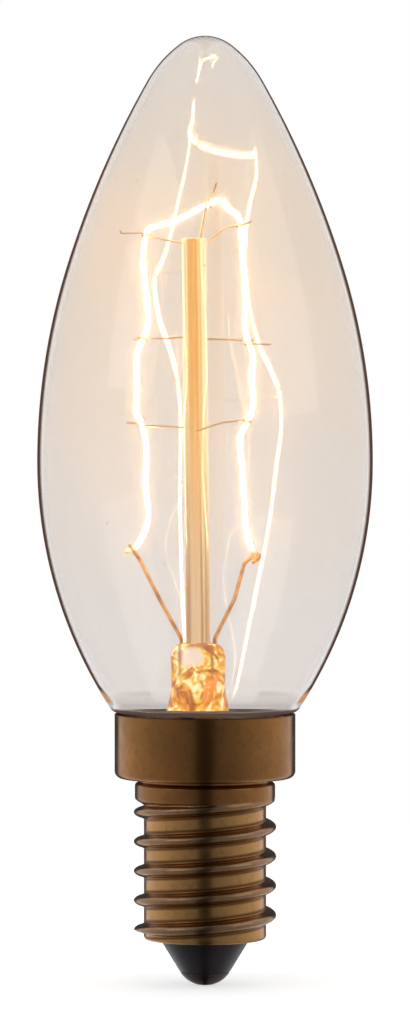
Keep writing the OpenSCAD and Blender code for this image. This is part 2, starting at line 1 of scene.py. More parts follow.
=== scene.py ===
import json
import math
import bmesh
import bpy
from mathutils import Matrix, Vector


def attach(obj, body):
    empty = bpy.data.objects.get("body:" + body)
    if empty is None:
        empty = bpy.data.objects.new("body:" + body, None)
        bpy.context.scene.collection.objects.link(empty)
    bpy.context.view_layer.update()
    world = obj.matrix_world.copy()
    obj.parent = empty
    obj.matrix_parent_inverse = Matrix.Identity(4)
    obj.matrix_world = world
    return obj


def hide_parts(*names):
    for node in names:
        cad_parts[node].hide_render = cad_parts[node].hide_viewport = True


# filament bulb: finer shapes and finishes round the CAD frame, one part after another
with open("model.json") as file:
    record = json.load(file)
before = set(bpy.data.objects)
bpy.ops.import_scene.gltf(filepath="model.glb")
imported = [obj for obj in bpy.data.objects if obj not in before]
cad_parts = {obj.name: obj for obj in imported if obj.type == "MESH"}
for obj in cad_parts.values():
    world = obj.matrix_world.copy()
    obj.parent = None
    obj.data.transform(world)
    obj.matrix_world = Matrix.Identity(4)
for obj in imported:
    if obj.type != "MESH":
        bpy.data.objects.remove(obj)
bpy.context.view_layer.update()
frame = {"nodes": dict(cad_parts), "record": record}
print("frame loaded")

mm = 0.001


# shader sockets as Python values, so that a formula on a surface reads as one
def plug(tree, slot, value):
    if isinstance(value, Wire):
        tree.links.new(value.socket, slot)
    elif slot.type == "RGBA":
        slot.default_value = (*value, 1)
    else:
        slot.default_value = value


class Wire:
    def __init__(self, tree, socket):
        self.tree = tree
        self.socket = socket

    def apply(self, operation, other=0, swap=False):
        node = self.tree.nodes.new("ShaderNodeMath")
        node.operation = operation
        pair = (other, self) if swap else (self, other)
        for slot, value in zip(node.inputs, pair):
            plug(self.tree, slot, value)
        return Wire(self.tree, node.outputs[0])

    def __add__(self, other):
        return self.apply("ADD", other)

    def __radd__(self, other):
        return self.apply("ADD", other, True)

    def __sub__(self, other):
        return self.apply("SUBTRACT", other)

    def __rsub__(self, other):
        return self.apply("SUBTRACT", other, True)

    def __mul__(self, other):
        return self.apply("MULTIPLY", other)

    def __rmul__(self, other):
        return self.apply("MULTIPLY", other, True)

    def __truediv__(self, other):
        return self.apply("DIVIDE", other)

    def __pow__(self, other):
        return self.apply("POWER", other)

    def __abs__(self):
        return self.apply("ABSOLUTE")

    def larger(self, other):
        return self.apply("MAXIMUM", other)


class Nodes:
    def __init__(self, tree):
        self.tree = tree
        self.tree.nodes.clear()

    def node(self, kind, settings=None, values=None, out=0):
        made = self.tree.nodes.new("ShaderNode" + kind)
        for key, value in (settings or {}).items():
            if key == "stops":
                self.setStops(made.color_ramp, value)
            else:
                setattr(made, key, value)
        for key, value in (values or {}).items():
            plug(self.tree, made.inputs[key], value)
        if made.outputs:
            return Wire(self.tree, made.outputs[out])

    def setStops(self, band, stops):
        while len(band.elements) < len(stops):
            band.elements.new(0.5)
        for element, (place, colour) in zip(band.elements, stops):
            element.position = place
            element.color = (*colour, 1)

    def outs(self, wire, names):
        # several outputs of the node that this wire comes from
        return [Wire(self.tree, wire.socket.node.outputs[name]) for name in names]

    def place(self):
        return self.node("TexCoord", out="Object")

    def millimetres(self, axes):
        # the place on the object along each of these axes
        split = self.node("SeparateXYZ", values={"Vector": self.place()})
        return [axis / mm for axis in self.outs(split, axes)]

    def stretched(self, x, y, z):
        return self.node("VectorMath", {"operation": "MULTIPLY"}, {0: self.place(), 1: (x, y, z)})

    def blend(self, factor, one, two):
        mixed = self.node("Mix", {"data_type": "RGBA"}, {"Factor": factor})
        made = mixed.socket.node
        plug(self.tree, made.inputs[6], one)  # 6, 7 and 2 are the node's colour sockets
        plug(self.tree, made.inputs[7], two)
        return Wire(self.tree, made.outputs[2])

    def ramp(self, factor, stops):
        return self.node("ValToRGB", {"stops": stops}, {"Fac": factor}, out="Color")

    def noise(self, scale, detail=3, roughness=0.55, distortion=0, vector=None):
        return self.node("TexNoise", values={
            "Vector": vector or self.place(), "Scale": scale, "Detail": detail,
            "Roughness": roughness, "Distortion": distortion}, out="Fac")

    def span(self, value, low, high):
        return self.node("MapRange", {"clamp": True}, {"Value": value, "From Min": low, "From Max": high})

    def bump(self, height, strength, depth):
        return self.node("Bump", values={"Height": height, "Strength": strength, "Distance": depth * mm})

    def facing(self):
        return self.node("LayerWeight", values={"Blend": 0.5}, out="Facing")

    def mixed(self, factor, one, two):
        return self.node("MixShader", values={0: factor, 1: one, 2: two})

    def rays(self):
        # rays that look straight or through glass, rays off gloss, and which gloss is mirror-like
        camera, through, gloss, singular = self.outs(self.node("LightPath"), (
            "Is Camera Ray", "Is Transmission Ray", "Is Glossy Ray", "Is Singular Ray"))
        straight = camera.larger(through)
        return straight, gloss * (1 - straight), singular


class Finish(Nodes):
    def __init__(self, name):
        self.material = bpy.data.materials.new(name)
        self.material.use_nodes = True
        super().__init__(self.material.node_tree)

    def surface(self, shader, volume=None):
        values = {"Surface": shader}
        if volume:
            values["Volume"] = volume
        self.node("OutputMaterial", values=values)
        return self.material

    def lightThrough(self, body, tint):
        # shadow rays go straight through the glass, so the filament lights what is round it
        passed = self.node("BsdfTransparent", values={"Color": tint})
        return self.mixed(self.node("LightPath", out="Is Shadow Ray"), body, passed)


# camera: its place, the height it looks at and how much height it sees, in mm
view = {"place": (0, -450, 53), "aim": 45.31, "tall": 97.99, "sensor": 36, "clip": 10}

camY, camZ = view["place"][1:]
drop = view["aim"] - camZ
bpy.ops.object.camera_add(location=[v * mm for v in view["place"]])
camera = bpy.context.object
camera.name = "viewCamera"
camera.rotation_euler = (math.pi / 2 + math.atan2(drop, -camY), 0, 0)
camera.data.sensor_fit = "VERTICAL"
camera.data.sensor_height = view["sensor"]
camera.data.lens = view["sensor"] * math.hypot(camY, drop) / view["tall"]
camera.data.clip_start = view["clip"] * mm
bpy.context.scene.camera = camera
bpy.context.scene.view_settings.view_transform = "Standard"

# light: sky strength, the gloss surroundings by how far behind the object they lie, and lamps
light = {"diffuse": 0.7, "front": 0.72, "slope": 0.48,
         "stripe": 0.05, "stripeFrom": -0.962, "stripeTo": -0.993,
         "past": 0.07, "pastRough": (0.75, 0.83), "pastMirror": (0.9, 0.96),
         "lampSize": 400, "lampAim": (0, 0, 40),
         "lamps": {"lampLeft": ((-420, -300, 350), 0.3), "lampRight": ((450, -200, 300), 0.22)}}


def studio(nodes, x, y, singular):
    # what gloss sees round the object: pale behind, dim in front, one dark strip at the camera,
    # and the dark room past the paper for glancing gloss, narrower for mirror-like glass
    length = (x * x + y * y + 1e-9) ** 0.5  # never quite nothing
    behind = y / length
    soft = behind * light["slope"] + light["front"]
    strip = nodes.span(behind, light["stripeFrom"], light["stripeTo"])
    past = (nodes.span(behind, *light["pastRough"]) * (1 - singular)
            + nodes.span(behind, *light["pastMirror"]) * singular)
    soft = soft * (1 - past) + past * light["past"]
    return soft * (1 - strip) + strip * light["stripe"]


sky = bpy.data.worlds.new("paleSky")
bpy.context.scene.world = sky
sky.use_nodes = True
air = Nodes(sky.node_tree)
direction = air.node("SeparateXYZ", values={"Vector": air.node("TexCoord", out="Generated")})
x, y = air.outs(direction, "XY")
straight, gloss, singular = air.rays()
level = (straight + gloss * studio(air, x, y, singular)
         + (1 - straight - gloss) * light["diffuse"])
dome = air.node("Background", values={"Color": (1, 1, 1), "Strength": level})
air.node("OutputWorld", values={"Surface": dome})

for name, (place, power) in light["lamps"].items():
    spot = Vector(place) * mm
    bpy.ops.object.light_add(type="AREA", location=spot)
    lamp = bpy.context.object
    lamp.name = name
    lamp.data.size = light["lampSize"] * mm
    lamp.data.energy = power
    toAim = Vector(light["lampAim"]) * mm - spot
    lamp.rotation_euler = toAim.to_track_quat("-Z", "Y").to_euler()

# floor: matt paper that takes the bulb's shadow, and plain white farther off
paper = {"size": 6000, "mattTo": 60, "whiteFrom": 200, "glow": 0.6,
         "dark": (0.62, 0.62, 0.62), "pale": (0.66, 0.66, 0.66), "white": (1, 1, 1)}


def paperFinish(name):
    made = Finish(name)
    straight, gloss, singular = made.rays()
    x, y = made.millimetres("XY")
    matt = made.node("BsdfPrincipled", values={
        "Base Color": made.blend(made.noise(900, 2), paper["dark"], paper["pale"]),
        "Roughness": 0.9, "Specular IOR Level": 0})
    glow = made.node("Emission", values={"Color": paper["white"], "Strength": straight * paper["glow"]})
    near = made.node("AddShader", values={0: matt, 1: glow})
    far = made.node("Emission", values={"Color": paper["white"], "Strength": 1})
    distance = made.span(x * x + y * y, paper["mattTo"] ** 2, paper["whiteFrom"] ** 2)
    seen = made.mixed(distance * straight, near, far)
    mirrored = made.node("Emission", values={
        "Color": paper["white"], "Strength": studio(made, x, y, singular)})
    return made.surface(made.mixed(gloss, seen, mirrored))


bpy.ops.mesh.primitive_plane_add(size=paper["size"] * mm, location=(0, 0, 0))
floor = bpy.context.object
floor.name = "paleFloor"
floor.data.materials.append(paperFinish("palePaper"))
print("camera, stage and light ready")


# modelling helpers
def ease(x):
    x = min(1, max(0, x))
    return x * x * (3 - 2 * x)


def clearSelection():
    if bpy.context.object and bpy.context.object.mode != "OBJECT":
        bpy.ops.object.mode_set(mode="OBJECT")
    bpy.ops.object.select_all(action="DESELECT")


def pick(piece):
    clearSelection()
    piece.select_set(True)
    bpy.context.view_layer.objects.active = piece


def newPiece(name, data):
    piece = bpy.data.objects.new(name, data)
    bpy.context.scene.collection.objects.link(piece)
    pick(piece)
    return piece


def settle(piece, material, node):
    pick(piece)
    bpy.ops.object.transform_apply(location=True, rotation=True, scale=True)
    piece.data.materials.clear()
    piece.data.materials.append(material)
    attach(piece, "root")
    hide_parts(node)


def smoothed(sharp=None):
    bpy.ops.object.shade_smooth()
    if sharp:
        bpy.ops.object.shade_smooth_by_angle(angle=math.radians(sharp))


def turned(name, profile, steps, sharp=None):
    # a profile of radius and height in mm, spun once round the axis
    mesh = bpy.data.meshes.new(name)
    mesh.from_pydata([(r * mm, 0, z * mm) for r, z in profile],
                     [(i, i + 1) for i in range(len(profile) - 1)], [])
    piece = newPiece(name, mesh)
    bpy.ops.object.mode_set(mode="EDIT")
    bpy.ops.mesh.select_all(action="SELECT")
    bpy.ops.mesh.spin(steps=steps, angle=2 * math.pi, center=(0, 0, 0), axis=(0, 0, 1))
    bpy.ops.mesh.select_all(action="SELECT")
    bpy.ops.mesh.remove_doubles(threshold=1e-6)
    bpy.ops.mesh.normals_make_consistent(inside=False)
    bpy.ops.object.mode_set(mode="OBJECT")
    smoothed(sharp)
    return piece


def lofted(name, rings, sharp):
    # rings of as many points each, in mm, joined one to the next and closed at both ends
    points = [tuple(v * mm for v in p) for ring in rings for p in ring]
    count = len(rings[0])
    last = (len(rings) - 1) * count
    faces = [[i + k, i + (k + 1) % count, i + count + (k + 1) % count, i + count + k]
             for i in range(0, last, count) for k in range(count)]
    faces += [list(range(count))[::-1], list(range(last, last + count))]
    mesh = bpy.data.meshes.new(name)
    mesh.from_pydata(points, [], faces)
    piece = newPiece(name, mesh)
    bpy.ops.object.mode_set(mode="EDIT")
    bpy.ops.mesh.select_all(action="SELECT")
    bpy.ops.mesh.normals_make_consistent(inside=False)
    bpy.ops.object.mode_set(mode="OBJECT")
    smoothed(sharp)
    return piece


def along(degrees):
    return Vector((math.cos(math.radians(degrees)), math.sin(math.radians(degrees))))


def arc(centre, radius, start, stop, count):
    return [tuple(Vector(centre) + radius * along(start + (stop - start) * k / count))
            for k in range(count + 1)]


def chain(*runs):
    # runs of points one after another, each shared point only once
    points = []
    for run in runs:
        for point in run:
            if not points or (Vector(point) - Vector(points[-1])).length > 1e-4:
                points.append(point)
    return points


# glass envelope: tip and bend radii, widest height, where it turns over on the cap, and the
# angles at which its arcs meet
glass = {"top": 90.8, "wide": 32.1, "belly": 50.1, "tip": 4.08, "bend": 11.35, "wall": 0.7,
         "neck": 15.2, "over": 9.08, "overZ": 26.57, "roll": 1.0, "rollTurn": 75, "seal": 21.5,
         "turns": (17.23, 29.65, 53.13), "steps": 160}


def glassOutline(inset):
    bellyTurn, flankTurn, tipTurn = glass["turns"]
    half = glass["wide"] / 2
    tip = Vector((0, glass["top"] - glass["tip"]))
    bend = tip + (glass["tip"] - glass["bend"]) * along(tipTurn)
    start = bend + glass["bend"] * along(flankTurn)
    # the flank and belly radii are the two that join the bend to the widest point smoothly
    dx, dz = half - start.x, start.y - glass["belly"]
    a, b = along(bellyTurn), along(flankTurn)
    det = (1 - a.x) * (b.y - a.y) - (a.x - b.x) * a.y
    belly = (dx * (b.y - a.y) - dz * (a.x - b.x)) / det
    flank = ((1 - a.x) * dz - a.y * dx) / det
    bellyAt = Vector((half - belly, glass["belly"]))
    flankAt = bellyAt + (belly - flank) * a
    # below the belly one arc runs down to the small roll over the cap's rim
    dropX, dropZ = half - glass["over"], glass["belly"] - glass["overZ"]
    lower = (dropX ** 2 + dropZ ** 2) / (2 * dropX)
    lean = math.degrees(math.asin(dropZ / lower))
    rollAt = Vector((glass["over"], glass["overZ"])) - glass["roll"] * along(-lean)
    foot = rollAt + glass["roll"] * along(-glass["rollTurn"])
    hollow = (foot.x - glass["neck"] / 2) / (1 - math.cos(math.radians(glass["rollTurn"])))
    hollowAt = foot + hollow * along(-glass["rollTurn"])
    return chain(
        arc(tip, glass["tip"] - inset, 90, tipTurn, 10),
        arc(bend, glass["bend"] - inset, tipTurn, flankTurn, 8),
        arc(flankAt, flank - inset, flankTurn, bellyTurn, 18),
        arc(bellyAt, belly - inset, bellyTurn, 0, 18),
        arc((half - lower, glass["belly"]), lower - inset, 0, -lean, 22),
        arc(rollAt, glass["roll"] - inset, -lean, -glass["rollTurn"], 8),
        arc(hollowAt, hollow + inset, 180 - glass["rollTurn"], 180, 8),
        [(glass["neck"] / 2 - inset, glass["seal"])])


# looks of the envelope: heights in mm over which a layer sets in, and how much of it there is
clear = {"glowBandZ": (36, 74), "glowBandEndZ": (76, 87), "ragged": 6, "plain": (1, 0.998, 0.994),
         "glowBandTint": (1, 0.945, 0.865), "film": 0.007, "filmWiped": 0.005, "filmTint": (1, 0.6, 0.19),
         "haze": 0.04, "hazeWiped": 0.01, "hazeTint": (1, 0.9, 0.78), "dust": 0.003,
         "dustWiped": 0.003, "specks": 0.3, "dustTint": (1, 0.88, 0.72),
         "mirror": 0.07, "mirrorTint": (1, 0.97, 0.93),
         "footZ": (27.9, 27.2), "foot": 0.9, "footTint": (0.98, 0.97, 0.96),
         # the rim, seat, wedge, amber and pale values below paint shade and light onto the wall's edge
         "rim": (0.765, 0.83), "seatZ": (26.9, 26.65), "seat": 0.92,
         "wedgeTopZ": (28.9, 27.8), "wedgeFootZ": (26.85, 27.15), "wedge": 0.08,
         "amberZ": (28.5, 27.9), "paleZ": (27.3, 27.05), "rimDark": (0.14, 0.078, 0.056),
         "amber": (0.92, 0.5, 0.3), "pale": (0.92, 0.87, 0.84), "seatDark": (0.11, 0.05, 0.034),
         "shadowTint": (0.94, 0.92, 0.91), "inside": (0.56, 0.51, 0.51), "density": 400}


def wallSides(made):
    # fromOutside is 1 where the side that is seen looks away from the axis, and fromAir is 1
    # where the ray comes from the air and not from within the wall
    level = made.stretched(1, 1, 0)
    outward = made.node("VectorMath", {"operation": "DOT_PRODUCT"}, {
        0: made.node("NewGeometry", out="Normal"), 1: level}, out="Value")
    fromAir = 1 - made.node("NewGeometry", out="Backfacing")
    return outward.apply("GREATER_THAN"), fromAir


def clearBody(made, z, fromOutside, fromAir):
    wipe = made.span(made.noise(150, 4), 0.3, 0.75)
    # painted warm light: the glass is tinted warmer up the filament's height, with a ragged edge, and less
    # so towards the tip
    warmGlowBand = made.span(z + wipe * clear["ragged"], *clear["glowBandZ"])
    warmGlowBand = warmGlowBand * (1 - made.span(z, *clear["glowBandEndZ"]) * 0.6)
    body = made.node("BsdfPrincipled", values={
        "Base Color": made.blend(warmGlowBand, clear["plain"], clear["glowBandTint"]),
        "Roughness": 0, "IOR": 1.5, "Transmission Weight": 1, "Specular IOR Level": 0.05})
    # the film and the haze scatter the filament's light into its halo, wide and near
    film = made.node("BsdfPrincipled", values={
        "Base Color": clear["filmTint"], "Roughness": 0.42, "IOR": 1.5, "Transmission Weight": 1,
        "Specular IOR Level": 0})
    haze = made.node("BsdfPrincipled", values={
        "Base Color": clear["hazeTint"], "Roughness": 0.235, "IOR": 1.5, "Transmission Weight": 1})
    body = made.mixed(wipe * clear["filmWiped"] + clear["film"], body, film)
    body = made.mixed(wipe * clear["hazeWiped"] + clear["haze"], body, haze)
    specks = made.span(made.noise(1700, 1), 0.79, 0.83) * clear["specks"]
    dust = made.node("BsdfTranslucent", values={"Color": clear["dustTint"]})
    body = made.mixed(wipe * clear["dustWiped"] + specks + clear["dust"], body, dust)
    # the strands mirror faintly in the wall behind them
    mirror = made.node("BsdfAnisotropic", values={"Color": clear["mirrorTint"], "Roughness": 0.02})
    body = made.mixed((1 - fromOutside) * fromAir * clear["mirror"], body, mirror)
    # from inside the bulb the foot of the wall is looked straight through
    low = made.span(z, *clear["footZ"]) * clear["foot"] * (1 - fromOutside)
    through = made.node("BsdfTransparent", values={"Color": clear["footTint"]})
    return made.mixed(low, body, through)


def paintedEdgeShade(made, z, body, fromOutside, fromAir):
    # painted shade: the outer wall is painted dark at its edge, where thick glass would be looked through,
    # and dark where it sits on the cap
    seatShade = made.span(z + made.noise(260, 2) * 0.3, *clear["seatZ"]) * clear["seat"]
    wedge = made.span(z, *clear["wedgeTopZ"]) * made.span(z, *clear["wedgeFootZ"])
    shade = made.span(made.facing() + wedge * clear["wedge"], *clear["rim"]).larger(seatShade)
    # low down the painted edge turns amber and then pale, painted light
    tint = made.blend(made.span(z, *clear["amberZ"]), clear["rimDark"], clear["amber"])
    tint = made.blend(made.span(z, *clear["paleZ"]), tint, clear["pale"])
    tint = made.blend(seatShade, tint, clear["seatDark"])
    edge = made.node("BsdfPrincipled", values={
        "Base Color": tint, "Roughness": 0.5, "Specular IOR Level": 0})
    return made.mixed(shade * fromOutside * fromAir, body, edge)


def envelopeFinish(name):
    made = Finish(name)
    [z] = made.millimetres("Z")
    fromOutside, fromAir = wallSides(made)
    body = clearBody(made, z, fromOutside, fromAir)
    body = paintedEdgeShade(made, z, body, fromOutside, fromAir)
    inner = made.node("VolumeAbsorption", values={"Color": clear["inside"], "Density": clear["density"]})
    return made.surface(made.lightThrough(body, clear["shadowTint"]), inner)


bulb = turned("bulbGlass", chain(glassOutline(0), reversed(glassOutline(glass["wall"]))), glass["steps"])
clearGlass = envelopeFinish("clearGlass")
settle(bulb, clearGlass, "glass_envelope")
print("envelope blown")

# stem: flare on the neck's seal, flat pinch, rod and exhaust tube
stem = {"x": -0.66, "flare": 6.24, "rise": 2.84, "wall": 0.8,
        "land": 0.9, "landGap": 0.05, "throat": (2.75, 27.5),
        "void": 28.7, "voidR": 1.85, "voidFlat": 1.4, "voidEdge": 0.15,
        "wide": 5.24, "thick": 2.6, "top": 32.9, "squeezeZ": 28.3, "squeeze": 2.6,
        "shoulder": 1.3, "edge": 0.4, "edgeIn": 0.35, "square": 1.6, "sides": 64, "levels": 30,
        "tube": 2.4, "tubeBore": 1.4, "tubeEnd": 9.2, "tubeTip": [(0.3, 9.35), (0.5, 9.9)],
        "tipTurn": 62, "tubeRound": 11, "tubeTop": 28.6,
        "rod": 2.34, "rodTop": 71.4, "lean": 0.6, "sunk": 0.02, "even": 0.1, "ripple": 0.02,
        "rippleStep": 3, "rodEdge": 0.35, "bead": 0.42, "beadX": 0.85}


def roundRing(r, z):
    turns = [2 * math.pi * k / stem["sides"] for k in range(stem["sides"])]
    return [(r * math.cos(a), r * math.sin(a), z) for a in turns]


def drawnIn(below, reach, depth):
    # how far a rounded edge has drawn in, this far below the top
    short = 1 - min(1, max(0, below / reach))
    return depth * (1 - math.sqrt(1 - short ** 2))


def pinchRing(z):
    # the jaws squeeze the tube flat between the void and the top, nearly square at the corners
    squeeze = ease((z - stem["squeezeZ"]) / stem["squeeze"])
    below = stem["top"] - z
    half = stem["wide"] / 2 - drawnIn(below, stem["shoulder"], stem["shoulder"])
    deep = stem["wide"] / 2 * (1 - squeeze) + stem["thick"] / 2 * squeeze
    deep -= drawnIn(below, stem["edge"], stem["edgeIn"])
    power = 2 / (2 + stem["square"] * squeeze)
    return [(math.copysign(abs(x) ** power, x) * half, math.copysign(abs(y) ** power, y) * deep, z)
            for x, y, _ in roundRing(1, z)]


def stemRings():
    # from the void's roof down the inside of the flare, round the seal land, and up the outside
    seal, land = glass["seal"], stem["flare"] + stem["land"]
    flareAt = (stem["flare"], seal + stem["rise"])
    inside = arc(flareAt, stem["rise"] + stem["wall"], 180, 270, 12)
    outside = arc(flareAt, stem["rise"], 270, 180, 12)
    profile = [(0.01, stem["void"]), (stem["voidFlat"], stem["void"]),
               (stem["voidR"], stem["void"] - stem["voidEdge"])]
    profile += inside + [(land, seal - stem["wall"]), (land, seal - stem["landGap"])]
    profile += outside + [stem["throat"]]
    pinchTall = stem["top"] - stem["squeezeZ"]
    pinch = [stem["squeezeZ"] + pinchTall * k / stem["levels"] for k in range(stem["levels"] + 1)]
    return [roundRing(r, z) for r, z in profile] + [pinchRing(z) for z in pinch]


# looks of the pressed glass, mostly painted light: places in mm of a pale window, a painted orange ember
# and the painted shade of the two seal wires
pressed = {"folds": [(0.375, (0.42, 0.09, 0)), (0.43, (0.76, 0.2, 0)), (0.49, (0.98, 0.38, 0.005)),
                     (0.545, (1.05, 0.68, 0.1)), (0.6, (1.15, 1.05, 0.6))],
           "wander": 4, "windowX": -1.35, "windowZ": 31.6, "windowWide": 1.2, "windowTall": 1,
           "ragged": 1.3, "window": (1, 0.83, 0.7), "windowRim": (1.1, 0.86, 0.42),
           "emberX": ((0.3, 0.55), (1.5, 1.2)), "emberZ": ((30.2, 29.6), (26.9, 27.5)),
           "paintedEmber": (0.93, 0.22, 0), "wireX": (-2.4, 0.68), "wireWide": (0.22, 0.08),
           "wireZ": (29.2, 30), "archZ": (32.35, 32.6), "dark": (0.46, 0.13, 0.02),
           "rim": (0.34, 0.1, 0.025), "clearTint": (1, 0.93, 0.8), "shadowTint": (0.95, 0.85, 0.7),
           "pinchedZ": (24.8, 26.6), "litFoot": 0.22, "litPinch": 0.72, "litWindow": 0.35}


def pressedFinish(name):
    # squeezed glass with the filament's light painted in as a glow: amber folds, a pale window, and brown
    # creases of painted shade
    made = Finish(name)
    x, z = made.millimetres("XZ")
    bend = made.noise(170, 2)
    folds = made.noise(430, detail=3.5, roughness=0.6, distortion=2.4)
    tint = made.ramp(folds, pressed["folds"])
    wobble = (bend - 0.5) * pressed["wander"]
    # painted light: an orange ember of glow low in the pinch
    paintedEmber = made.span(z, *pressed["emberZ"][1]) * made.span(z + wobble, *pressed["emberZ"][0])
    for side in pressed["emberX"]:
        paintedEmber = paintedEmber * made.span(x + wobble, *side)
    tint = made.blend(paintedEmber * made.span(folds, 0.66, 0.5) * 0.9, tint, pressed["paintedEmber"])
    # the pale window lets more plain glass through, and its pale colour and yellow rim are painted light in
    # the glow
    ragged = (made.noise(900, 1) - 0.5) * pressed["ragged"]
    reachX = (x - pressed["windowX"]) / pressed["windowWide"]
    reachZ = (z - pressed["windowZ"]) / pressed["windowTall"]
    window = made.span((reachX * reachX + reachZ * reachZ) ** 0.5 + ragged, 1.12, 0.86)
    tint = made.blend(window * 0.92, tint, pressed["window"])
    tint = made.blend(window * (1 - window) * 3.4, tint, pressed["windowRim"])
    # painted shade: the seal wires and the arched top edge darken what lies before them
    left, right = pressed["wireX"]
    sway = wobble * 0.12
    wireShade = made.span(abs(x - left + sway), *pressed["wireWide"]).larger(
        made.span(abs(x - right - sway), *pressed["wireWide"]))
    wireShade = wireShade * made.span(z, *pressed["wireZ"])
    archShade = made.span(z + wobble * 0.1, *pressed["archZ"]) * made.span(folds, 0.56, 0.46)
    tint = made.blend(wireShade.larger(archShade) * 0.7, tint, pressed["dark"])
    # painted shade: edges turned away from the camera darken to brown
    rim = made.span(made.facing(), 0.55, 0.8) * made.span(bend, 0.64, 0.42)
    tint = made.blend(rim * 0.85, tint, pressed["rim"])
    glassy = made.node("BsdfPrincipled", values={
        "Base Color": made.blend(0.6, tint, pressed["clearTint"]), "Roughness": 0.03, "IOR": 1.5,
        "Transmission Weight": 1, "Normal": made.bump(folds, 0.35, 0.4)})
    # painted light: the pinch glows with its own colour, though it is no lamp
    paintedGlow = made.node("BsdfPrincipled", values={
        "Base Color": (0.03, 0.026, 0.01), "Roughness": 0.15, "Emission Color": tint,
        "Emission Strength": 1.05, "Normal": made.bump(folds, 0.25, 0.3)})
    pinched = made.span(z, *pressed["pinchedZ"])
    share = pinched * pressed["litPinch"] + pressed["litFoot"] - window * pressed["litWindow"]
    body = made.mixed(share, glassy, paintedGlow)
    return made.surface(made.lightThrough(body, pressed["shadowTint"]))


# looks of the drawn rod, painted light: colours of glow, painted highlight and painted shade across it,
# high up and at the foot, and the heights between
drawn = {"highZ": (38, 60), "wander": 8, "waver": 0.14, "glow": 0.8,
         "top": [(0.08, (1.15, 1.05, 0.75)), (0.12, (0.86, 0.7, 0.32)), (0.17, (1.1, 0.98, 0.62)),
                 (0.24, (0.93, 0.48, 0.11)), (0.6, (0.94, 0.445, 0.075)), (0.68, (1, 0.75, 0.35)),
                 (0.75, (0.8, 0.62, 0.25)), (0.8, (1.1, 0.98, 0.62)), (0.93, (1.1, 1.02, 0.72))],
         "foot": [(0.03, (0.75, 0.46, 0.24)), (0.1, (0.4, 0.165, 0.05)), (0.19, (0.55, 0.3, 0.14)),
                  (0.25, (0.85, 0.6, 0.37)), (0.6, (0.87, 0.58, 0.35)), (0.675, (0.35, 0.15, 0.035)),
                  (0.74, (0.95, 0.58, 0.22)), (0.84, (0.5, 0.24, 0.08)), (0.95, (0.7, 0.45, 0.28))],
         "brownLine": (0.6, 0.38, 0.1), "paleLine": (1.05, 0.98, 0.72), "shadowTint": (0.95, 0.85, 0.7)}


def rodFinish(name):
    # drawn rod that glows with painted light in long stripes: orange at the top with pale painted
    # highlights at its sides, clearer below between brown lines of painted shade
    made = Finish(name)
    x, z = made.millimetres("XZ")
    streak = made.noise(500, 2, vector=made.stretched(3, 3, 0.06))
    high = made.span(z + (streak - 0.5) * drawn["wander"], *drawn["highZ"])
    lean = (z - stem["top"]) * math.tan(math.radians(stem["lean"]))
    across = (x - stem["x"] + lean) / stem["rod"] + 0.5 + (streak - 0.5) * drawn["waver"]
    tint = made.blend(high, made.ramp(across, drawn["foot"]), made.ramp(across, drawn["top"]))
    # long brown lines of painted shade and pale lines of painted highlight
    line = made.noise(500, 2, vector=made.stretched(11, 11, 0.11))
    tint = made.blend(made.span(line, 0.58, 0.7) * 0.4, tint, drawn["brownLine"])
    tint = made.blend(made.span(line, 0.42, 0.3) * 0.4, tint, drawn["paleLine"])
    glassy = made.node("BsdfPrincipled", values={
        "Base Color": tint, "Roughness": 0, "IOR": 1.5, "Transmission Weight": 1})
    # painted light: the rod glows with its colour, though it is no lamp
    paintedGlow = made.node("BsdfPrincipled", values={
        "Base Color": (0.06, 0.055, 0.03), "Roughness": 0.15, "Emission Color": tint,
        "Emission Strength": 0.95})
    return made.surface(made.lightThrough(made.mixed(drawn["glow"], glassy, paintedGlow), drawn["shadowTint"]))


def exhaustProfile():
    outer, bore = stem["tube"] / 2, stem["tubeBore"] / 2
    centre = (0, stem["tubeRound"])
    return chain([(0, stem["tubeEnd"])], stem["tubeTip"], arc(centre, outer, -stem["tipTurn"], 0, 8),
                 [(outer, stem["tubeTop"]), (bore, stem["tubeTop"])], arc(centre, bore, 0, -90, 8))


def rodPiece():
    # drawn glass is never quite even, and a small bead holds the top wires
    radius = stem["rod"] / 2
    length = stem["rodTop"] - stem["top"]
    edge, step, sunk = stem["rodEdge"], stem["rippleStep"], stem["sunk"]
    ripples = [(radius + stem["ripple"] * math.sin(k), step * k) for k in range(1, int(length // step))]
    piece = turned("rodGlass", chain(
        [(0, -sunk), (radius, -sunk), (radius, stem["even"])], ripples,
        arc((radius - edge, length - edge), edge, 0, 90, 6), [(0, length)]), 64, 40)
    clearSelection()
    bpy.ops.mesh.primitive_uv_sphere_add(
        segments=32, ring_count=16, radius=stem["bead"] * mm,
        location=(stem["beadX"] * mm, 0, (length - edge) * mm))
    bead = bpy.context.object
    bpy.ops.object.shade_smooth()
    union = piece.modifiers.new("bead", "BOOLEAN")
    union.operation = "UNION"
    union.object = bead
    bpy.context.view_layer.objects.active = piece
    bpy.ops.object.modifier_apply(modifier="bead")
    bpy.data.objects.remove(bead)
    piece.rotation_euler = (0, -math.radians(stem["lean"]), 0)
    piece.location = (stem["x"] * mm, 0, stem["top"] * mm)
    return piece


flare = lofted("stemGlass", stemRings(), 50)
pressedGlass = pressedFinish("pressedGlass")
drawnGlass = rodFinish("drawnGlass")
flare.location.x = stem["x"] * mm
settle(flare, pressedGlass, "stem_flare")
tube = turned("exhaustTube", exhaustProfile(), 64)
tube.location.x = stem["x"] * mm
settle(tube, pressedGlass, "exhaust_tube")
settle(rodPiece(), drawnGlass, "arbor_rod")
print("stem ready")

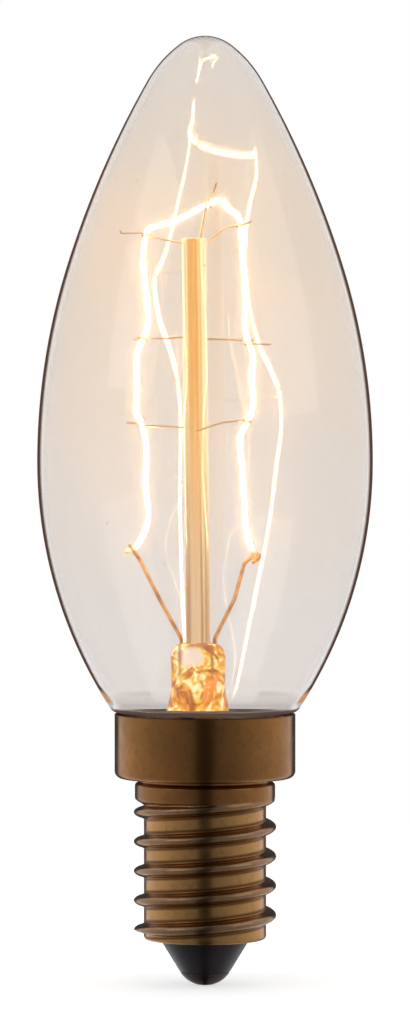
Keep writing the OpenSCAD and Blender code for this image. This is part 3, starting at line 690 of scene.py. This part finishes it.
# filament: a fine coil through its stations, from the pinch's top, with bends on the way at
# a share of each stretch
coil = {"wide": 0.5, "wire": 0.1, "rise": 0.19, "points": 10, "step": 0.1,
        "tails": [(-0.75, -0.05, -0.35), (0.26, 0.25, -0.5)],
        "stations": [(-6.3, 2.2, 8.8), (-5.6, 4.6, 21.0), (-5.35, 0.5, 28.8), (-5.1, 5.2, 39.0),
                     (-4.93, 5.3, 39.6), (1.15, 2.3, 41.95), (1.85, 2, 42.2), (3.95, -2.4, 40.1),
                     (4.05, -2.4, 39.6), (4.9, 3.4, 28.65), (4.6, -2.3, 20.9), (5.5, 2, 8.05)],
        "bends": [[(0.13, (1, -0.5, 0)), (0.55, (0.8, 0.1, 0)), (0.92, (0.4, 0.6, -0.1))],
                  [(0.17, (-0.4, -0.7, -0.4)), (0.42, (-0.4, -2.2, -1.1)),
                   (0.66, (-0.4, -2.6, -1.4)), (0.94, (-0.4, -1.1, -0.6))],
                  [(0.12, (0.4, 0, 0)), (0.48, (0.15, 0, 0)), (0.88, (-0.2, 0.3, -0.1))],
                  [], [(0.14, (0.1, 0.3, 0)), (0.4, (0, -0.3, -0.3))], [],
                  [(0.54, (-0.1, -0.1, 0.2))], [],
                  [(0.08, (0, -0.5, -0.2)), (0.27, (0, -1.4, -0.7)),
                   (0.6, (0, -0.7, -0.35)), (0.94, (-0.2, -0.1, 0))],
                  [(0.08, (0.33, 0.3, -0.3)), (0.35, (0.35, 0.8, -0.6)), (0.9, (0.36, 0, 0))],
                  [(0.06, (-0.5, -0.25, -0.1)), (0.3, (-0.65, -1.9, -0.7)),
                   (0.53, (-0.7, -1.4, -0.5)), (0.83, (-0.6, -0.3, -0.1))]]}


def coilKnots():
    stops = [Vector(p) for p in coil["stations"]]
    firstTail, lastTail = [Vector(p) for p in coil["tails"]]
    knots = [stops[0] + firstTail]
    for start, stop, bends in zip(stops, stops[1:], coil["bends"]):
        knots.append(start)
        knots += [start.lerp(stop, share) + Vector(offset) for share, offset in bends]
    return knots + [stops[-1], stops[-1] + lastTail]


def coilPath():
    # a smooth curve through the knots, in short steps
    knots = coilKnots()
    reach = [(b - a).length for a, b in zip(knots, knots[1:])]

    def heading(i):
        if i in (0, len(knots) - 1):
            j = min(i, len(knots) - 2)
            return (knots[j + 1] - knots[j]).normalized()
        return ((knots[i] - knots[i - 1]) / reach[i - 1] ** 2
                + (knots[i + 1] - knots[i]) / reach[i] ** 2).normalized()

    points = []
    for i, d in enumerate(reach):
        count = max(2, math.ceil(d / coil["step"]))
        for k in range(count):
            s = k / count
            c = ease(s)
            points.append(knots[i] * (1 - c) + knots[i + 1] * c
                          + heading(i) * d * s * (1 - s) ** 2 - heading(i + 1) * d * s * s * (1 - s))
    return points + [knots[-1]]


def woundWire():
    line = coilPath()
    ring = (coil["wide"] - coil["wire"]) / 2
    normal = Vector((0, 1, 0))
    turn = 0
    points = []
    for a, b in zip(line, line[1:]):
        ahead = (b - a).normalized()
        normal = (normal - normal.dot(ahead) * ahead).normalized()
        side = ahead.cross(normal)
        turns = (b - a).length / coil["rise"]
        count = max(1, round(turns * coil["points"]))
        for k in range(count):
            angle = turn + 2 * math.pi * turns * k / count
            points.append(a.lerp(b, k / count) + ring * (math.cos(angle) * normal + math.sin(angle) * side))
        turn += 2 * math.pi * turns
    return points


def sweptWire(name, points, radius):
    line = bpy.data.curves.new(name, "CURVE")
    line.dimensions = "3D"
    line.bevel_depth = radius * mm
    line.bevel_resolution = 0  # four sides are enough for a wire this fine
    line.use_fill_caps = True
    spline = line.splines.new("POLY")
    spline.points.add(len(points) - 1)
    for point, place in zip(spline.points, points):
        point.co = (*(v * mm for v in place), 1)
    newPiece(name, line)
    bpy.ops.object.convert(target="MESH")
    smoothed()
    return bpy.context.object


# looks of the filament: heights in mm between the cool ends and the full glow
hot = {"warmZ": (41.4, 42.6), "cool": (1, 0.33, 0.05), "orange": (1, 0.66, 0.34),
       "yellow": (1, 0.75, 0.45), "metal": (0.3, 0.25, 0.2), "strength": 200, "coolShare": 0.005}


def hotFinish(name):
    # the ends stay cooler, where the leads draw the heat off; the colour carries the strength
    made = Finish(name)
    cool, orange, yellow = [[v * hot["strength"] for v in hot[key]] for key in ("cool", "orange", "yellow")]
    heat = made.span(made.noise(120, 2), 0.3, 0.7)
    [z] = made.millimetres("Z")
    warm = made.span(z, *hot["warmZ"])
    colour = made.blend(warm, cool, made.blend(heat, orange, yellow))
    share = warm * warm * (1 - hot["coolShare"]) + hot["coolShare"]
    return made.surface(made.node("BsdfPrincipled", values={
        "Base Color": hot["metal"], "Metallic": 1, "Roughness": 0.4,
        "Emission Color": made.blend(share, (0, 0, 0), colour), "Emission Strength": 1}))


base = Vector((stem["x"], 0, stem["top"]))
hotTungsten = hotFinish("hotTungsten")
filament = sweptWire("filamentCoil", [p + base for p in woundWire()], coil["wire"] / 2)
settle(filament, hotTungsten, "filament")
print("filament wound", len(filament.data.polygons))

# cap: skirt, waist, band, rolled thread and the lip that holds the insulator
cap = {"skirt": 8.66, "top": 26.0, "floor": 19.85, "wall": 0.3, "foot": 0.7, "edge": 0.05,
       "waist": 6.27, "underRound": 0.15, "waistRound": 0.12,
       "band": 6.72, "bandTop": 19.45, "bandFoot": 18.0, "bandRound": 0.34, "bandHollow": 0.06,
       "crest": 6.825, "root": 5.85, "pitch": 2.822, "crestZ": 5.29, "ridge": 0.62, "ridgePower": 0.72,
       "threadFrom": 4.8, "threadTo": 17.95, "shellFrom": 4.78, "shellTo": 18.1, "steps": 120,
       "runIn": (0.15, 0.4), "runOut": (-0.25, 0.45), "toBand": (-0.75, 0.72), "thinner": 0.6,
       "shellFoot": 4.4, "lip": 4.35, "lipRound": 0.34, "lipTop": 4.95, "lap": 0.01}


def skirtProfile():
    skirt, waist, band, wall = cap["skirt"], cap["waist"], cap["band"], cap["wall"]
    top, rim = cap["top"], cap["top"] - cap["edge"]
    footAt = (skirt - cap["foot"], cap["floor"] + cap["foot"])
    under, neck = cap["underRound"], cap["waistRound"]
    bandEdge, hollowEdge = cap["bandRound"], cap["wall"] + cap["bandHollow"]
    return chain(
        [(skirt, rim), (skirt, footAt[1])],
        arc(footAt, cap["foot"], 0, -90, 10),
        [(waist + under, cap["floor"])],
        arc((waist + under, cap["floor"] - under), under, 90, 180, 4),
        [(waist, cap["bandTop"] + neck)],
        arc((waist + neck, cap["bandTop"] + neck), neck, 180, 270, 4),
        arc((band - bandEdge, cap["bandTop"] - bandEdge), bandEdge, 90, 0, 6),
        [(band, cap["bandFoot"]), (band - wall, cap["bandFoot"])],
        arc((band - hollowEdge, cap["bandTop"] - hollowEdge), cap["bandHollow"], 0, 90, 3),
        [(waist - wall, cap["bandTop"] - wall), (waist - wall, cap["floor"] + wall)],
        arc(footAt, cap["foot"] - wall, -90, 0, 8),
        [(skirt - wall, rim), (skirt - wall + cap["edge"], top), (skirt - cap["edge"], top), (skirt, rim)])


def threadRadius(z, u, inset):
    # u is the distance along the axis from the nearest crest
    def begun(end, run):
        # how far a run has gone: it starts this far above one end of the thread and is this long
        after, length = cap[run]
        return ease((z - cap[end] - after) / length)

    fade = begun("threadFrom", "runIn") * (1 - begun("threadTo", "runOut"))
    half = cap["ridge"] - inset * cap["thinner"]
    ridge = max(0, 1 - (u / half) ** 2) ** cap["ridgePower"]
    rise = (cap["crest"] - cap["root"]) * fade * ridge
    toBand = (cap["band"] - cap["lap"] - cap["root"]) * begun("threadTo", "toBand")
    return cap["root"] - inset + max(rise, toBand)


def threadGrid():
    # rows that climb with the thread, close together on the ridge and wider in the root
    count, pitch = cap["steps"], cap["pitch"]
    first = cap["crestZ"] - pitch / 2
    start = math.floor((cap["shellFrom"] - first) / pitch) - 1
    stop = math.ceil((cap["shellTo"] - first) / pitch) + 1
    flank = [u / 12 * cap["ridge"] for u in (2.8, 5.5, 8, 10, 11.6, 13)]
    rows = [-u for u in reversed(flank)] + [0] + flank
    rest = pitch - 2 * flank[-1]
    rows += [flank[-1] + rest * k / 8 for k in range(1, 8)]
    rings = [[(u if u < pitch / 2 else u - pitch, first + u + pitch * (turn + k / count))
              for k in range(count)] for turn in range(start, stop) for u in rows]
    return rings, len(rows)


def threadShell(name):
    # one skin outside and one inside it, cut level at both ends and closed there
    rings, perTurn = threadGrid()
    count, low, high = cap["steps"], cap["shellFrom"], cap["shellTo"]
    made = bmesh.new()
    layers = []
    for inset in (0, cap["wall"]):
        spots = {}

        def spot(m, k):
            if k == count:
                m, k = m + perTurn, 0
            u, z = rings[m][k]
            # rows past an end all fall on it
            key = ("low", k) if z <= low else ("high", k) if z >= high else (m, k)
            if key not in spots:
                z = min(high, max(low, z))
                r = threadRadius(z, u, inset)
                a = 2 * math.pi * k / count
                spots[key] = made.verts.new((r * math.cos(a) * mm, r * math.sin(a) * mm, z * mm))
            return spots[key]

        for m in range(len(rings) - perTurn - 1):
            for k in range(count):
                corners = [spot(m, k), spot(m, k + 1), spot(m + 1, k + 1), spot(m + 1, k)]
                corners = [c for i, c in enumerate(corners) if c not in corners[:i]]
                if len(corners) > 2:
                    made.faces.new(corners)
        layers.append(spots)
    outer, inner = layers
    for end in ("low", "high"):
        for k in range(count):
            here, beside = (end, k), (end, (k + 1) % count)
            made.faces.new([outer[here], outer[beside], inner[beside], inner[here]])
    bmesh.ops.recalc_face_normals(made, faces=made.faces)
    mesh = bpy.data.meshes.new(name)
    made.to_mesh(mesh)
    made.free()
    piece = newPiece(name, mesh)
    smoothed()
    return piece


def lipProfile():
    root, lip, foot, curl = cap["root"], cap["lip"], cap["shellFoot"], cap["lipRound"]
    outer = root + cap["lap"]
    return chain(
        [(outer, cap["lipTop"])], arc((outer - curl, foot + curl), curl, 0, -90, 8),
        [(lip, foot), (lip, foot + cap["wall"]), (root - curl, foot + cap["wall"]),
         (root - curl, cap["lipTop"]), (outer, cap["lipTop"])])


# looks of the brass: heights and radii in mm, and the painted shade of creases at a share of a turn off the
# crest
brass = {"threadZ": (17.9, 17.5), "crestR": (6.15, 6.6), "rimZ": (25.8, 25.94),
         "under": -0.21, "underWide": (0.025, 0.095), "above": 0.225, "aboveWide": (0.02, 0.07),
         "clouds": ((0.27, 0.12, 0.036), (0.33, 0.155, 0.05)), "mottle": (0.17, 0.085, 0.04),
         "root": (0.52, 0.285, 0.11), "crest": (0.31, 0.205, 0.13), "creaseShade": (0.085, 0.034, 0.014),
         "speck": (0.12, 0.06, 0.03)}


def brassFinish(name):
    made = Finish(name)
    x, y, z = made.millimetres("XYZ")
    mottle = made.span(made.noise(300, 5), 0.35, 0.68)
    cloud = made.span(made.noise(90), 0.35, 0.65)
    speck = made.span(made.noise(1500), 0.5, 0.7)
    threaded = made.span(z, *brass["threadZ"])
    crest = made.span((x * x + y * y) ** 0.5, *brass["crestR"]) * threaded
    # painted shade: a dark line under each ridge and a thinner one above it
    turn = (z - cap["crestZ"]) / cap["pitch"] - y.apply("ARCTAN2", x) / (2 * math.pi) + 0.5
    share = turn.apply("FRACT") - 0.5
    under = 1 - made.span(abs(share - brass["under"]), *brass["underWide"])
    above = 1 - made.span(abs(share - brass["above"]), *brass["aboveWide"])
    creaseShade = under.larger(above * 0.9) * threaded
    # painted shade: darker at the skirt's top rim, where the glass sits on it
    creaseShade = creaseShade.larger(made.span(z, *brass["rimZ"]) * 0.5)
    tint = made.blend(cloud, *brass["clouds"])
    tint = made.blend(mottle * 0.4, tint, brass["mottle"])
    # painted light: the thread below the crests is painted brighter and yellower
    tint = made.blend(threaded * (1 - crest) * 0.75, tint, brass["root"])
    tint = made.blend(crest * 0.7, tint, brass["crest"])
    tint = made.blend(creaseShade * 0.85, tint, brass["creaseShade"])
    tint = made.blend(speck * 0.25, tint, brass["speck"])
    grind = made.noise(30, vector=made.stretched(20, 20, 1200))
    tarnish = made.noise(1100)
    return made.surface(made.node("BsdfPrincipled", values={
        "Base Color": tint, "Metallic": 1, "Roughness": mottle * 0.1 + creaseShade * 0.15 + 0.17,
        "Normal": made.bump(grind * 0.4 + tarnish * 0.6, 0.1, 0.02)}))


skirt = turned("capSkirt", skirtProfile(), 128, 40)
thread = threadShell("capThread")
lip = turned("capLip", lipProfile(), cap["steps"], 50)
clearSelection()
for piece in (skirt, thread, lip):
    piece.select_set(True)
bpy.context.view_layer.objects.active = skirt
bpy.ops.object.join()
skirt.name = "screwCap"
agedBrass = brassFinish("agedBrass")
settle(skirt, agedBrass, "screw_shell")
print("cap rolled")

# foot of the cap: black cone, contact plate and the solder under it
foot = {"hole": 0.6, "cone": 1.29, "coneR": 2.44, "coneEdge": (0.1, 0.06), "lipR": 4.29,
        "lipEdge": 0.05, "lipZ": (4.3, 4.4),
        "shoulder": [(4.29, 4.7), (5.45, 4.7), (5.45, 6.3), (4.25, 6.3), (3.25, 5.2), (0.6, 5.2)],
        "bore": 0.15, "solder": (0.5, 0.9),
        "dome": [(2.12, 0.9), (1.98, 0.74), (1.74, 0.52), (1.45, 0.33), (1.12, 0.17), (0.8, 0.06),
                 (0.5, 0.01), (0.3, 0), (0, 0)],
        "plate": (0.91, 1.28), "plateEdge": [(2.36, 1.28), (2.34, 1.2), (2.25, 1.04), (2.14, 0.91)]}


def insulatorProfile():
    cone, coneR, lipR = foot["cone"], foot["coneR"], foot["lipR"]
    edgeIn, edgeUp = foot["coneEdge"]
    lowZ, highZ = foot["lipZ"]
    return chain(
        [(foot["hole"], cone), (coneR - edgeIn, cone), (coneR, cone + edgeUp),
         (lipR - foot["lipEdge"], lowZ), (lipR, highZ)], foot["shoulder"], [(foot["hole"], cone)])


def blackFinish(name):
    made = Finish(name)
    smear = made.span(made.noise(160), 0.4, 0.7)
    return made.surface(made.node("BsdfPrincipled", values={
        "Base Color": made.blend(smear, (0.009, 0.007, 0.008), (0.02, 0.014, 0.016)),
        "Roughness": smear * 0.2 + 0.3, "Specular IOR Level": 0.3,
        "Normal": made.bump(made.noise(500, 4), 0.25, 0.05)}))


def solderFinish(name):
    made = Finish(name)
    wave = made.noise(420, 4)
    return made.surface(made.node("BsdfPrincipled", values={
        "Base Color": made.blend(made.span(wave, 0.35, 0.65), (0.05, 0.036, 0.036), (0.12, 0.085, 0.08)),
        "Metallic": 1, "Roughness": made.span(wave, 0.3, 0.8) * 0.25 + 0.35,
        "Normal": made.bump(wave, 0.4, 0.08)}))


def bored(heights, edge):
    # up the bore, and then out and down the edge
    return chain([(foot["bore"], z) for z in heights], edge)


blackVitrite = blackFinish("blackVitrite")
insulator = turned("blackInsulator", insulatorProfile(), 96, 40)
settle(insulator, blackVitrite, "insulator")
contact = turned("contactDome", bored(foot["solder"], foot["dome"]), 96, 60)
plateLow = [(foot["bore"], foot["plate"][0])]
plate = turned("contactPlate", bored(foot["plate"], foot["plateEdge"] + plateLow), 96, 40)
dullSolder = solderFinish("dullSolder")
settle(contact, dullSolder, "contact_solder")
settle(plate, dullSolder, "contact_plate")


# plain streaky finishes for the wires and the cement
def streakFinish(name, one, two, rough, metal=1, scale=700):
    made = Finish(name)
    streak = made.span(made.noise(scale), 0.35, 0.65)
    return made.surface(made.node("BsdfPrincipled", values={
        "Base Color": made.blend(streak, one, two), "Metallic": metal,
        "Roughness": streak * 0.15 + rough, "Normal": made.bump(streak, 0.15, 0.01)}))


finishes = {
    "support_wire": streakFinish("supportWire", (0.45, 0.27, 0.13), (0.62, 0.4, 0.22), 0.3),
    "lead_wire": streakFinish("leadWire", (0.42, 0.17, 0.045), (0.82, 0.46, 0.16), 0.3),
    "seal_metal": streakFinish("sealWire", (0.34, 0.1, 0.05), (0.5, 0.18, 0.09), 0.35),
    "cap_brass": agedBrass,
    "cement": streakFinish("basingCement", (0.5, 0.42, 0.34), (0.62, 0.54, 0.44), 0.8, 0, 300),
    "solder": dullSolder,
    "stem_glass": pressedGlass,
    "clear_glass": clearGlass,
    "black_glass": blackVitrite,
    "filament_wire": hotTungsten,
}
# each CAD solid takes the finish of its slot, and those not drawn above are shown as they are
for part in frame["record"]["subparts"]:
    node = frame["nodes"][part["node"]]
    node.data.materials.clear()
    node.data.materials.append(finishes[part["material_slot"]])
print("finishes set")
